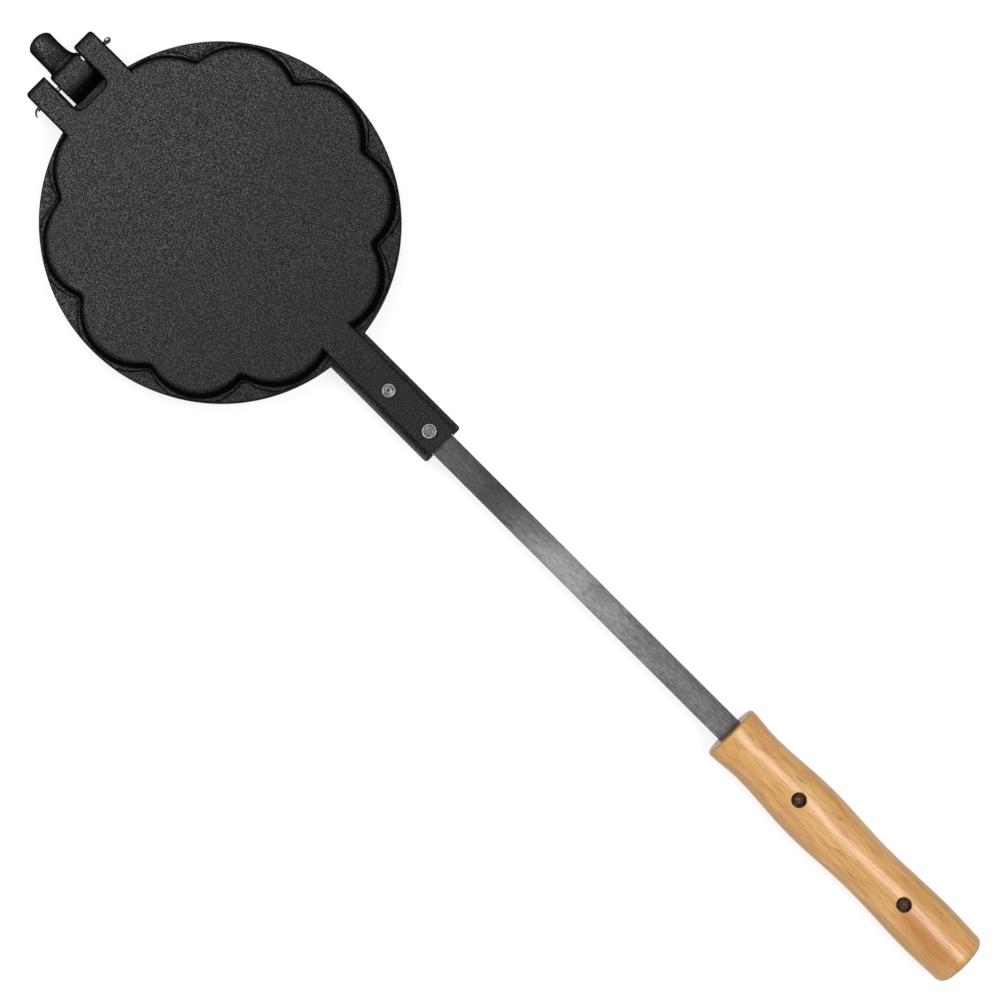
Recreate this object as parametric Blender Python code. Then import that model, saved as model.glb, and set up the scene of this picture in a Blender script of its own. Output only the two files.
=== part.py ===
"""Campfire waffle iron: two hinged cast plates, each riveted to a flat bar with half a wooden grip.

Metres, +Z up. The origin is on the lower plate's flat back, under the middle of its disc.
+X runs along the bars to the grips, and the hinge is at -X.
Every piece is modelled in half coordinates: z is zero on the middle plane between the
two plates and grows outwards. The lower half is the same half turned over about the X axis.
"""
import math

import bmesh
import bpy
from mathutils import Matrix, Vector

mm = 0.001

# Gaps between pieces
parting_gap = 0.3 * mm
seat_gap = 0.3 * mm
pin_clearance = 0.3 * mm
shank_clearance = 0.25 * mm
overrun = 2 * mm

# Cast plates
half_height = 16.5 * mm
disc_radius = 100 * mm
flange_height = 6 * mm
rim_round = 1 * mm
disc_steps = 80

# Flower-shaped body of ten lobes. A shallow notch faces the bar and a deep one the hinge, and between
# them come the side notches, deep and shallow in turn. The casting's own places aren't quite even.
# Each outline stays inside the rim by three distances: at a deep notch, a shallow notch and a crest
side_notches = tuple(math.radians(angle) for angle in (36.5, 70.5, 106, 143))
ledge_insets = (12.4 * mm, 10.6 * mm, -1.1 * mm)
wall_foot_insets = (13.2 * mm, 11.3 * mm, 1.7 * mm)
wall_top_insets = (15 * mm, 12.8 * mm, 4 * mm)
flat_insets = (16.4 * mm, 13.9 * mm, 6.7 * mm)
ledge_height = 1.4 * mm
shoulder_height = 2.8 * mm
shoulder_steps = 3
notch_easing = math.radians(1.5)
lobe_place_shares = (0, 0.06, 0.15, 0.3, 0.5, 0.7, 0.85, 0.94)

# Heart-shaped moulds inside each plate, with their studs. The walls are measured from the flat's outline
plate_floor = 5.35 * mm
mould_depth = half_height - parting_gap / 2 - plate_floor
mould_walls = (2.7 * mm, 4.2 * mm, 3.1 * mm)
mould_draft = 1.6 * mm
ridge_width = 3.2 * mm
hub_radius = 8 * mm
hub_steps = 4
heart_refinements = 4
heart_place_shares = (-1, -0.83, -0.67, -0.5, -0.33, -0.17, -0.06, 0, 0.06, 0.17, 0.33, 0.5, 0.67, 0.83, 1)
web_depth = 1.5 * mm
web_radius = 58 * mm
stud_pitch = 11 * mm
stud_foot = 6.6 * mm
stud_top = 4.2 * mm
stud_height = 5.6 * mm
stud_margin = 1.6 * mm

# Hinge
hinge_reach = 16 * mm
hinge_x = -(disc_radius + hinge_reach)
knuckle_radius = 8 * mm
knuckle_width = 21 * mm
knuckle_web_inner = 7 * mm
knuckle_web_outer = 15 * mm
knuckle_root_depth = 7 * mm
knuckle_root_x = knuckle_root_depth - disc_radius
knuckle_round = 2 * mm
knuckle_round_steps = 2
ear_play = 1 * mm
ear_shift = -0.6 * mm
ear_thickness = 13.85 * mm
ear_inside = knuckle_width / 2 + ear_play
ear_outside = ear_inside + ear_thickness
ear_radius = 10.5 * mm
ear_root_depth = 22 * mm
ear_slope_depth = 7 * mm
ear_root_x = ear_root_depth - disc_radius
ear_slope_x = ear_slope_depth - disc_radius
ear_round = 2 * mm
ear_round_steps = 3
notch_depth = 4.5 * mm
notch_edge_x = notch_depth - disc_radius
notch_corner = 4.8 * mm
barrel_steps = 24
peg_radius = 7.7 * mm
peg_reach = 29.3 * mm
peg_tip_x = hinge_x - peg_reach
peg_dome = 4.6 * mm
peg_foot_flare = 0.3 * mm
peg_foot_length = 2.4 * mm
peg_dome_steps = 5
peg_steps = 24

# Split pin through the hinge
pin_radius = 1.2 * mm
pin_split = 0.1 * mm
pin_eye_inside = 0.75 * mm
pin_eye_sweep = math.radians(300)
pin_eye_steps = 12
pin_long_leg = 1.4 * mm
pin_long_bend = 2.2 * mm
pin_long_turn = math.radians(125)
pin_short_leg = 0.2 * mm
pin_short_bend = 1.5 * mm
pin_short_turn = math.radians(95)
pin_tip_share = 0.8
pin_section_steps = 6
pin_leg_steps = 6

# Flat bars
bar_width = 15 * mm
bar_thickness = 4 * mm
bar_length = 444 * mm
bar_inner = 1.5 * mm
bar_outer = bar_inner + bar_thickness
bar_edge = 0.5 * mm
bar_rim_gap = 2 * mm
bar_start_x = disc_radius + bar_rim_gap
bar_end_x = bar_start_x + bar_length

# Sockets that the bars are riveted into
socket_side = 2.4 * mm
socket_shift = 0.6 * mm
socket_cover = 4.5 * mm
socket_width = bar_width + 2 * (seat_gap + socket_side)
socket_height = bar_outer + socket_cover
socket_root_depth = 24 * mm
socket_flush_depth = 14 * mm
socket_level_reach = 22 * mm
socket_reach = 72.5 * mm
socket_root_x = disc_radius - socket_root_depth
socket_flush_x = disc_radius - socket_flush_depth
socket_level_x = disc_radius + socket_level_reach
socket_end_x = disc_radius + socket_reach
socket_ease_steps = 6
socket_round = 1.6 * mm
socket_round_steps = 3
strip_side = 3.2 * mm
strip_width = socket_width + 2 * strip_side
strip_ledge = 1.5 * mm
strip_end_x = socket_end_x + strip_ledge
strip_corner = 1.5 * mm
socket_rivet_insets = (40.7 * mm, 9.1 * mm)
socket_rivet_places = tuple(socket_end_x - inset for inset in socket_rivet_insets)

# Rivets
shank_radius = 2 * mm
rivet_steps = 16
tail_radius = 3.2 * mm
tail_height = 0.9 * mm
socket_head_radius = 4.2 * mm
socket_head_height = 1.8 * mm
head_dimple = 0.4 * mm
grip_head_radius = 3.1 * mm
grip_head_height = 1.5 * mm
tail_end_share = 0.7
head_side_share = 0.45
head_crown_share = 0.86
dimple_rim_share = 0.66
dimple_floor_share = 0.52
washer_radius = 3.9 * mm
washer_height = 0.8 * mm

# Wooden grips
grip_length = 182 * mm
grip_bar_overlap = 148 * mm
grip_start_x = bar_end_x - grip_bar_overlap
grip_end_x = grip_start_x + grip_length
grip_width = 35.4 * mm
grip_rise = 15.6 * mm
grip_front_round = 2 * mm
grip_end_round = 5 * mm
grip_edge = 1 * mm
grip_arc_steps = 14
grip_body_steps = 14
round_steps = 3
grip_shape_shares = ((0, 0.966), (0.118, 0.885), (0.349, 1), (0.597, 0.9), (0.846, 0.972), (1, 0.93))
grip_rivet_insets = (52.1 * mm, 133.6 * mm)
grip_rivet_places = tuple(grip_start_x + inset for inset in grip_rivet_insets)
counterbore_radius = washer_radius + seat_gap
counterbore_cover = 4.5 * mm
counterbore_floor = bar_outer + counterbore_cover

sharp_angle = math.radians(35)
bevel_angle = math.radians(50)


def clear_scene():
    for old in list(bpy.data.objects):
        bpy.data.objects.remove(old, do_unlink=True)


def make_material(name, colour, roughness, metallic):
    material = bpy.data.materials.new(name)
    material.use_nodes = True
    shader = material.node_tree.nodes["Principled BSDF"]
    shader.inputs["Base Color"].default_value = (*colour, 1)
    shader.inputs["Roughness"].default_value = roughness
    shader.inputs["Metallic"].default_value = metallic
    return material


def new_object(name, bm):
    bmesh.ops.recalc_face_normals(bm, faces=bm.faces)
    mesh = bpy.data.meshes.new(name)
    bm.to_mesh(mesh)
    bm.free()
    item = bpy.data.objects.new(name, mesh)
    bpy.context.collection.objects.link(item)
    return item


def polar(radius, angle):
    return Vector((radius * math.cos(angle), radius * math.sin(angle)))


def loft_into(bm, rings):
    """Join rings of points, equally many in each, and close both ends."""
    loops = [[bm.verts.new(point) for point in ring] for ring in rings]
    for lower, upper in zip(loops, loops[1:]):
        for here in range(len(lower)):
            after = (here + 1) % len(lower)
            bm.faces.new((lower[here], lower[after], upper[after], upper[here]))
    bm.faces.new(loops[0])
    bm.faces.new(loops[-1])


def lofted(name, solids):
    """One object made of closed lofts, each a list of rings."""
    bm = bmesh.new()
    for rings in solids:
        loft_into(bm, rings)
    return new_object(name, bm)


def raised(outline, height):
    """A plan outline's points, lifted to one height."""
    return [Vector((x, y, height)) for x, y in outline]


def circle_ring(radius, height, steps):
    return raised((polar(radius, math.tau * step / steps) for step in range(steps)), height)


def turned(name, profile, steps):
    """A round solid from (radius, height) points, lowest first, with flat or pointed ends."""
    return lofted(name, [[circle_ring(radius, height, steps) for radius, height in profile]])


def prism_across(name, outline, low_y, high_y):
    """Extrude a side view, given as (x, z) points, across Y."""
    rings = [[Vector((x, y, z)) for x, z in outline] for y in (low_y, high_y)]
    return lofted(name, [rings])


def prism_up(name, outline, low_z, high_z):
    """Extrude a plan view, given as (x, y) points, along Z."""
    return lofted(name, [[raised(outline, z) for z in (low_z, high_z)]])


def combine(target, operand, operation):
    modifier = target.modifiers.new(operand.name, "BOOLEAN")
    modifier.operation = operation
    modifier.solver = "EXACT"
    modifier.object = operand
    operand.hide_render = True
    operand.display_type = "WIRE"


def round_edges(item, width, segments):
    modifier = item.modifiers.new("rounded edges", "BEVEL")
    modifier.width = width
    modifier.segments = segments
    modifier.limit_method = "ANGLE"
    modifier.angle_limit = bevel_angle


def settle(item):
    """Apply the modifiers, remove the shapes that they used, and shade the result."""
    graph = bpy.context.evaluated_depsgraph_get()
    mesh = bpy.data.meshes.new_from_object(item.evaluated_get(graph))
    operands = [modifier.object for modifier in item.modifiers if modifier.type == "BOOLEAN"]
    item.modifiers.clear()
    item.data = mesh
    for operand in operands:
        bpy.data.objects.remove(operand, do_unlink=True)
    shade(item)


def shade(item):
    item.data.shade_smooth()
    item.data.set_sharp_from_angle(angle=sharp_angle)


def notch_angles():
    """Every notch once round, from the shallow one at the bar to the same one again."""
    other_side = (math.tau - angle for angle in reversed(side_notches))
    return (0, *side_notches, math.pi, *other_side, math.tau)


def half_lobe_reach(notch, crest, half_angle, turn):
    """Radius of a lobe's arc, from its crest (turn 0) to its notch (turn 1)."""
    centre = (crest ** 2 - notch ** 2) / (2 * (crest - notch * math.cos(half_angle)))
    angle = half_angle * turn
    side = centre * math.sin(angle)
    return centre * math.cos(angle) + math.sqrt((crest - centre) ** 2 - side ** 2)


def sharp_reach(insets, angle):
    """Radius of the lobes, with sharp notches between them."""
    deep, shallow, crest = (disc_radius - inset for inset in insets)
    notches = notch_angles()
    angle %= math.tau
    place = sum(angle >= notch for notch in notches[1:-1])
    half_angle = (notches[place + 1] - notches[place]) / 2
    turn = (angle - notches[place]) / half_angle - 1
    notch = deep if (place + (turn > 0)) % 2 else shallow
    return half_lobe_reach(notch, crest, half_angle, abs(turn))


def flower_reach(insets, angle):
    """The lobes' radius with its notches eased."""
    beside = sharp_reach(insets, angle - notch_easing) + sharp_reach(insets, angle + notch_easing)
    return (beside + 2 * sharp_reach(insets, angle)) / 4


def flower_ring(insets, height):
    limit = disc_radius - rim_round
    notches = notch_angles()
    outline = []
    for start, end in zip(notches, notches[1:]):
        for share in lobe_place_shares:
            angle = start + (end - start) * share
            outline.append(polar(min(flower_reach(insets, angle), limit), angle))
    return raised(outline, height)


def blend(start, end, share):
    return tuple(a + (b - a) * share for a, b in zip(start, end))


def make_disc():
    low = parting_gap / 2
    inset = disc_radius - rim_round
    profile = (
        (inset, low),
        (disc_radius, low + rim_round),
        (disc_radius, flange_height - rim_round),
        (inset, flange_height),
    )
    return turned("disc", profile, disc_steps)


def make_flower():
    ledge_top = flange_height + ledge_height
    rings = [
        flower_ring(ledge_insets, flange_height - overrun),
        flower_ring(ledge_insets, ledge_top),
        flower_ring(wall_foot_insets, ledge_top),
    ]
    for step in range(shoulder_steps + 1):
        turn = math.pi / 2 * step / shoulder_steps
        height = half_height - shoulder_height * (1 - math.sin(turn))
        insets = blend(flat_insets, wall_top_insets, math.cos(turn))
        rings.append(flower_ring(insets, height))
    return lofted("flower", [rings])


def heart_sectors():
    """Each heart's start, middle and end angle: two deep notches and the shallow one between them."""
    notches = notch_angles()
    at_bar = (notches[-2] - math.tau, 0, notches[1])
    return [at_bar, *zip(notches[1::2], notches[2::2], notches[3::2])]


def heart_outline(sector, draft):
    """One heart, pointing at the hub, smaller all round by the draft than at the parting face."""
    start, middle, end = sector
    insets = [inset + wall - mould_draft + draft for inset, wall in zip(flat_insets, mould_walls)]
    half_ridge = ridge_width / 2 + draft
    hub = hub_radius + draft
    first, last = start, end
    for _ in range(heart_refinements):
        first = start + math.asin(half_ridge / flower_reach(insets, first))
        last = end - math.asin(half_ridge / flower_reach(insets, last))
    outline = []
    for share in heart_place_shares:
        side = last - middle if share > 0 else middle - first
        angle = middle + side * share
        outline.append(polar(flower_reach(insets, angle), angle))
    margin = math.asin(half_ridge / hub)
    for step in range(hub_steps + 1):
        angle = end - margin + (start - end + 2 * margin) * step / hub_steps
        outline.append(polar(hub, angle))
    return outline


def make_moulds():
    """The five hollows, cut from the parting face, with the studs left standing in them."""
    mouth_height = parting_gap / 2
    spread = overrun / mould_depth
    hearts = []
    studs = []
    for sector in heart_sectors():
        mouth = heart_outline(sector, 0)
        floor = heart_outline(sector, mould_draft)
        open_end = [point + (point - other) * spread for point, other in zip(mouth, floor)]
        rings = (
            raised(open_end, mouth_height - overrun),
            raised(floor, mouth_height + mould_depth),
        )
        hearts.append(rings)
        studs.extend(heart_studs(floor, sector[1]))
    moulds = lofted("moulds", hearts)
    combine(moulds, lofted("studs", studs), "DIFFERENCE")
    settle(moulds)
    return moulds


def inside(outline, point, margin):
    """Whether a point lies inside a convex or notched outline and clear of its edge."""
    crossings = 0
    for a, b in zip(outline, outline[1:] + outline[:1]):
        along = b - a
        share = max(0, min(1, (point - a).dot(along) / along.length_squared))
        if (a + along * share - point).length < margin:
            return False
        if (a.y > point.y) != (b.y > point.y):
            crossings += point.x < a.x + along.x * (point.y - a.y) / along.y
    return crossings % 2 == 1


def square_ring(centre, width, spin, height):
    corners = ((-1, -1), (1, -1), (1, 1), (-1, 1))
    outline = [centre + spin @ Vector(corner) * width / 2 for corner in corners]
    return raised(outline, height)


def heart_studs(floor_outline, angle):
    """The studs of one heart, on a square grid that follows the heart's own direction."""
    floor = parting_gap / 2 + mould_depth
    taper = (stud_foot - stud_top) / stud_height
    sunk_width = stud_foot + taper * overrun
    margin = stud_foot / math.sqrt(2) + stud_margin
    reach = math.ceil(disc_radius / stud_pitch)
    spin = Matrix.Rotation(angle, 2)
    solids = []
    for row in range(reach):
        for column in range(-reach, reach + 1):
            place = spin @ Vector(((row + 0.5) * stud_pitch, column * stud_pitch))
            if inside(floor_outline, place, margin):
                rings = (
                    square_ring(place, stud_top, spin, floor - stud_height),
                    square_ring(place, sunk_width, spin, floor + overrun),
                )
                solids.append(rings)
    return solids


def barrel_outline(radius, outer, root_x, inner):
    """Side view of a hinge barrel and its web, as (x, z) points.

    It follows the outer points, goes round the barrel and returns at height inner to root_x.
    """
    last_x, last_z = outer[-1]
    rise = Vector((last_x - hinge_x, last_z))
    tangent = math.atan2(rise.y, rise.x) + math.acos(radius / rise.length)
    sweep = math.tau - tangent + math.asin(inner / radius)
    outline = list(outer)
    for step in range(barrel_steps + 1):
        turn = tangent + sweep * step / barrel_steps
        outline.append((hinge_x + radius * math.cos(turn), radius * math.sin(turn)))
    outline.append((root_x, inner))
    return outline


def make_ears():
    """The hinge block of the upper plate, before the notch makes two ears of it."""
    outer = ((ear_root_x, half_height), (ear_slope_x, half_height))
    outline = barrel_outline(ear_radius, outer, ear_root_x, parting_gap / 2)
    ears = prism_across("ears", outline, ear_shift - ear_outside, ear_shift + ear_outside)
    round_edges(ears, ear_round, ear_round_steps)
    return ears


def make_notch():
    """The cut between the ears, with round inner corners."""
    centre_x = notch_edge_x - notch_corner
    centre_y = ear_inside - notch_corner
    far_x = hinge_x - ear_radius - overrun
    outline = [(far_x, ear_shift - ear_inside)]
    for side in (-1, 1):
        for step in range(round_steps + 1):
            turn = math.pi / 2 * (step / round_steps - (side < 0))
            corner = polar(notch_corner, turn)
            outline.append((centre_x + corner.x, ear_shift + side * centre_y + corner.y))
    outline.append((far_x, ear_shift + ear_inside))
    return prism_up("notch", outline, -ear_radius - overrun, half_height + overrun)


def make_knuckle():
    outer = ((knuckle_root_x, knuckle_web_outer),)
    outline = barrel_outline(knuckle_radius, outer, knuckle_root_x, knuckle_web_inner)
    knuckle = prism_across("knuckle", outline, -knuckle_width / 2, knuckle_width / 2)
    round_edges(knuckle, knuckle_round, knuckle_round_steps)
    return knuckle


def make_peg():
    """The rest peg ahead of the knuckle, turned about the tool's own axis."""
    face_x = hinge_x - knuckle_radius
    foot_radius = peg_radius + peg_foot_flare
    profile = [
        (foot_radius, hinge_x - 2 * pin_radius),
        (foot_radius, face_x),
        (peg_radius, face_x - peg_foot_length),
    ]
    for step in range(peg_dome_steps):
        turn = math.pi / 2 * step / peg_dome_steps
        profile.append((peg_radius * math.cos(turn), peg_tip_x + peg_dome * (1 - math.sin(turn))))
    rings = []
    for radius, x in profile:
        rings.append([Vector((x, point.x, point.y)) for point in circle_ring(radius, 0, peg_steps)])
    return lofted("peg", [rings])


def turned_cuts(name, profile, places):
    """One cutter with the same round profile at each place along the bar."""
    solids = []
    for x in places:
        rings = [circle_ring(radius, height, rivet_steps) for radius, height in profile]
        solids.append([[point + Vector((x, 0, 0)) for point in ring] for ring in rings])
    return lofted(name, solids)


def shank_cuts(places, high):
    hole_radius = shank_radius + shank_clearance
    return turned_cuts("shank holes", ((hole_radius, 0), (hole_radius, high + overrun)), places)


def make_pin_hole():
    reach = ear_outside + abs(ear_shift) + overrun
    hole_radius = pin_radius + pin_clearance
    hole = turned("pin hole", ((hole_radius, -reach), (hole_radius, reach)), rivet_steps)
    hole.data.transform(Matrix.Rotation(math.pi / 2, 4, "X"))
    hole.data.transform(Matrix.Translation((hinge_x, 0, 0)))
    return hole


def make_strip():
    """The strip at flange height under the socket and along both its sides."""
    centre_x = strip_end_x - strip_corner
    centre_y = strip_width / 2 - strip_corner
    outline = [(socket_root_x, -strip_width / 2)]
    for side in (-1, 1):
        for step in range(round_steps + 1):
            turn = math.pi / 2 * (step / round_steps - (side < 0))
            corner = polar(strip_corner, turn)
            outline.append((centre_x + corner.x, side * centre_y + corner.y))
    outline.append((socket_root_x, strip_width / 2))
    return prism_up("strip", outline, parting_gap / 2, flange_height)


def make_socket():
    """The socket's back, flush with the flat at its root and eased down to its rivets."""
    low = flange_height - overrun
    outline = [(socket_root_x, low), (socket_end_x, low), (socket_end_x, socket_height)]
    for step in range(socket_ease_steps + 1):
        share = step / socket_ease_steps
        ease = (1 - math.cos(math.pi * share)) / 2
        x = socket_level_x + (socket_flush_x - socket_level_x) * share
        outline.append((x, socket_height + (half_height - socket_height) * ease))
    outline.append((socket_root_x, half_height))
    low_y, high_y = socket_shift - socket_width / 2, socket_shift + socket_width / 2
    socket = prism_across("socket", outline, low_y, high_y)
    round_edges(socket, socket_round, socket_round_steps)
    return socket


def make_bar_groove():
    """The bar's seat, covered by the socket and open past its end."""
    half = bar_width / 2 + seat_gap
    start_x, end_x = bar_start_x - seat_gap, strip_end_x + overrun
    cover, open_top = bar_outer + seat_gap, flange_height + overrun
    outline = ((start_x, -overrun), (end_x, -overrun), (end_x, open_top))
    outline += ((socket_end_x, open_top), (socket_end_x, cover), (start_x, cover))
    return prism_across("bar groove", outline, -half, half)


def make_plate(name, hinge_parts, hinge_cuts):
    """One cast plate, with the given hinge parts added and cut."""
    plate = make_disc()
    plate.name = name
    for added in (make_flower(), make_strip(), make_socket(), *hinge_parts):
        combine(plate, added, "UNION")
    for cut in hinge_cuts:
        combine(plate, cut, "DIFFERENCE")
    web_top = parting_gap / 2 + web_depth
    cuts = (
        make_moulds(),
        turned("web", ((web_radius, -overrun), (web_radius, web_top)), disc_steps),
        make_bar_groove(),
        make_pin_hole(),
        shank_cuts(socket_rivet_places, socket_height),
    )
    for cut in cuts:
        combine(plate, cut, "DIFFERENCE")
    settle(plate)
    return plate


def make_bar(name):
    half = bar_width / 2
    outline = ((bar_start_x, -half), (bar_end_x, -half), (bar_end_x, half), (bar_start_x, half))
    bar = prism_up(name, outline, bar_inner, bar_outer)
    round_edges(bar, bar_edge, 1)
    combine(bar, shank_cuts(socket_rivet_places + grip_rivet_places, bar_outer), "DIFFERENCE")
    settle(bar)
    return bar


def rivet_profile(seat, head_radius, head_height):
    """Half section of a rivet from its spread tail, inside the bar, to its head."""
    tail_top = bar_inner - seat_gap
    tail_low = tail_top - tail_height
    head_foot = seat + seat_gap
    head_top = head_foot + head_height
    return [
        (tail_radius * tail_end_share, tail_low),
        (tail_radius, tail_low + tail_height / 2),
        (tail_radius, tail_top),
        (shank_radius, tail_top),
        (shank_radius, head_foot),
        (head_radius, head_foot),
        (head_radius, head_foot + head_height * head_side_share),
        (head_radius * head_crown_share, head_top),
        (head_radius * dimple_rim_share, head_top),
        (head_radius * dimple_floor_share, head_top - head_dimple),
    ]


def make_socket_rivet(name):
    profile = rivet_profile(socket_height, socket_head_radius, socket_head_height)
    rivet = turned(name, profile, rivet_steps)
    shade(rivet)
    return rivet


def make_grip_rivet(name):
    washer_top = counterbore_floor + seat_gap + washer_height
    profile = rivet_profile(washer_top, grip_head_radius, grip_head_height)
    rivet = turned(name, profile, rivet_steps)
    shade(rivet)
    return rivet


def make_washer(name):
    low = counterbore_floor + seat_gap
    high = low + washer_height
    washer = turned(name, ((washer_radius, low), (washer_radius, high)), rivet_steps)
    combine(washer, shank_cuts((0,), high), "DIFFERENCE")
    settle(washer)
    return washer


def grip_half_width(share):
    """Half the grip's width at a share of its length, eased between the named stations."""
    for (start, low), (end, high) in zip(grip_shape_shares, grip_shape_shares[1:]):
        if share <= end:
            ease = (1 - math.cos(math.pi * (share - start) / (end - start))) / 2
            return grip_width / 2 * (low + (high - low) * ease)
    return grip_width / 2 * grip_shape_shares[-1][1]


def grip_ring(x, inset):
    """A D-shaped section: flat on the middle plane, round outwards."""
    share = (x - grip_start_x) / (grip_end_x - grip_start_x)
    half_width = grip_half_width(share) - inset
    rise = grip_rise * grip_half_width(share) / (grip_width / 2) - inset
    low = parting_gap / 2
    ring = [Vector((x, half_width - grip_edge, low))]
    for step in range(grip_arc_steps + 1):
        turn = math.pi * step / grip_arc_steps
        height = low + grip_edge + (rise - low - grip_edge) * math.sin(turn)
        ring.append(Vector((x, half_width * math.cos(turn), height)))
    ring.append(Vector((x, grip_edge - half_width, low)))
    return ring


def make_grip(name):
    rings = []
    for step in range(round_steps + 1):
        turn = math.pi / 2 * step / round_steps
        inset = grip_front_round * (1 - math.sin(turn))
        rings.append(grip_ring(grip_start_x + grip_front_round * (1 - math.cos(turn)), inset))
    first, last = grip_start_x + grip_front_round, grip_end_x - grip_end_round
    for step in range(1, grip_body_steps):
        rings.append(grip_ring(first + (last - first) * step / grip_body_steps, 0))
    for step in range(round_steps + 1):
        turn = math.pi / 2 * step / round_steps
        inset = grip_end_round * (1 - math.cos(turn))
        rings.append(grip_ring(last + grip_end_round * math.sin(turn), inset))
    grip = lofted(name, [rings])
    half = bar_width / 2 + seat_gap
    ends = (grip_start_x - overrun, bar_end_x + seat_gap)
    outline = ((ends[0], -half), (ends[1], -half), (ends[1], half), (ends[0], half))
    slot = prism_up("slot", outline, -overrun, bar_outer + seat_gap)
    hole_radius = shank_radius + shank_clearance
    profile = (
        (hole_radius, -overrun),
        (hole_radius, counterbore_floor),
        (counterbore_radius, counterbore_floor),
        (counterbore_radius, grip_rise + overrun),
    )
    combine(grip, slot, "DIFFERENCE")
    combine(grip, turned_cuts("rivet holes", profile, grip_rivet_places), "DIFFERENCE")
    settle(grip)
    return grip


def pin_leg(side, straight, bend, full_turn):
    """One leg's wire from the ear outwards: (point, outward direction, width share).

    Side is -1 or 1, the X side of the pin that the leg lies on. Both legs bend to +X.
    """
    face = ear_shift - ear_outside - seat_gap
    leg = []
    for step in range(pin_leg_steps + 1):
        turn = full_turn * step / pin_leg_steps
        x = side * pin_split / 2 + bend * (1 - math.cos(turn))
        y = face - straight - bend * math.sin(turn)
        outward = Vector((math.cos(turn), math.sin(turn), 0)) * side
        share = 1 - (1 - pin_tip_share) * step / pin_leg_steps
        leg.append((Vector((x, y, 0)), outward, share))
    return leg


def pin_path():
    """The split pin's half-round wire, from the long leg's tip round the eye to the short leg's."""
    face = ear_shift + ear_outside
    centre = Vector((0, face + seat_gap + pin_radius + pin_eye_inside, 0))
    long_leg = pin_leg(-1, pin_long_leg, pin_long_bend, pin_long_turn)
    short_leg = pin_leg(1, pin_short_leg, pin_short_bend, pin_short_turn)
    eye = []
    for step in range(pin_eye_steps + 1):
        turn = pin_eye_sweep * (1 / 2 - step / pin_eye_steps)
        outward = Vector((-math.sin(turn), math.cos(turn), 0))
        eye.append((centre + outward * pin_eye_inside, outward, 1))
    left = (Vector((-pin_split / 2, face, 0)), Vector((-1, 0, 0)), 1)
    right = (Vector((pin_split / 2, face, 0)), Vector((1, 0, 0)), 1)
    return long_leg[::-1] + [left] + eye + [right] + short_leg


def make_split_pin(name):
    path = pin_path()
    rings = []
    for place, (point, outward, share) in enumerate(path):
        before = path[max(place - 1, 0)][0]
        after = path[min(place + 1, len(path) - 1)][0]
        along = (after - before).normalized()
        out = (outward - along * outward.dot(along)).normalized()
        across = along.cross(out)
        ring = []
        for step in range(pin_section_steps + 1):
            turn = math.pi * step / pin_section_steps
            radius = pin_radius * share
            ring.append(point + (across * math.cos(turn) + out * math.sin(turn)) * radius)
        rings.append(ring)
    pin = lofted(name, [rings])
    shade(pin)
    return pin


def make_half(name, turn):
    """The empty on the hinge axis that carries one half."""
    half = bpy.data.objects.new(name, None)
    half.location = (hinge_x, 0, half_height)
    half.rotation_euler = (turn, 0, 0)
    bpy.context.collection.objects.link(half)
    return half


def fit(item, half, material, x=0):
    """Hang a piece, modelled in half coordinates, on its half, x further along the bar."""
    item.parent = half
    item.location = (x - hinge_x, 0, 0)
    item.data.materials.clear()
    item.data.materials.append(material)


def main():
    clear_scene()
    iron = make_material("seasoned cast iron", (0.05, 0.05, 0.053), 0.55, 0.6)
    steel = make_material("brushed dark steel", (0.2, 0.2, 0.21), 0.42, 0.9)
    zinc = make_material("bright rivet steel", (0.55, 0.55, 0.54), 0.34, 1)
    pin_steel = make_material("pin steel", (0.3, 0.3, 0.3), 0.4, 1)
    dull = make_material("dull brown steel", (0.16, 0.12, 0.09), 0.5, 0.8)
    wood = make_material("varnished wood", (0.62, 0.36, 0.14), 0.3, 0)

    plates = {
        "upper": make_plate("upper_plate", [make_ears()], [make_notch()]),
        "lower": make_plate("lower_plate", [make_knuckle(), make_peg()], []),
    }
    for side, turn in (("upper", 0), ("lower", math.pi)):
        half = make_half(side + "_half", turn)
        fit(plates[side], half, iron)
        fit(make_bar(side + "_bar"), half, steel)
        fit(make_grip(side + "_grip"), half, wood)
        for place, x in zip(("plate_end", "grip_end"), socket_rivet_places):
            fit(make_socket_rivet(f"{side}_socket_rivet_{place}"), half, zinc, x)
        for place, x in zip(("front", "rear"), grip_rivet_places):
            fit(make_grip_rivet(f"{side}_grip_rivet_{place}"), half, dull, x)
            fit(make_washer(f"{side}_grip_washer_{place}"), half, dull, x)
        if side == "lower":
            pin = make_split_pin("hinge_split_pin")
            fit(pin, half, pin_steel, hinge_x)
            pin.rotation_euler = (-turn, 0, 0)


main()
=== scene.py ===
"""Looks of the campfire waffle iron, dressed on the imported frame.

The castings, bars, grips, rivets, washers and split pin are modelled again with finer rounding,
at the frame's own sizes, and each hides the node that it stands for. Pieces are modelled in half
coordinates (z is zero on the middle plane between the plates, outwards) and set in place by fit().
"""
from math import acos, asin, atan2, ceil, cos, pi, radians, sin, sqrt, tan, tau

import bmesh
import bpy
from mathutils import Matrix, Vector


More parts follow.
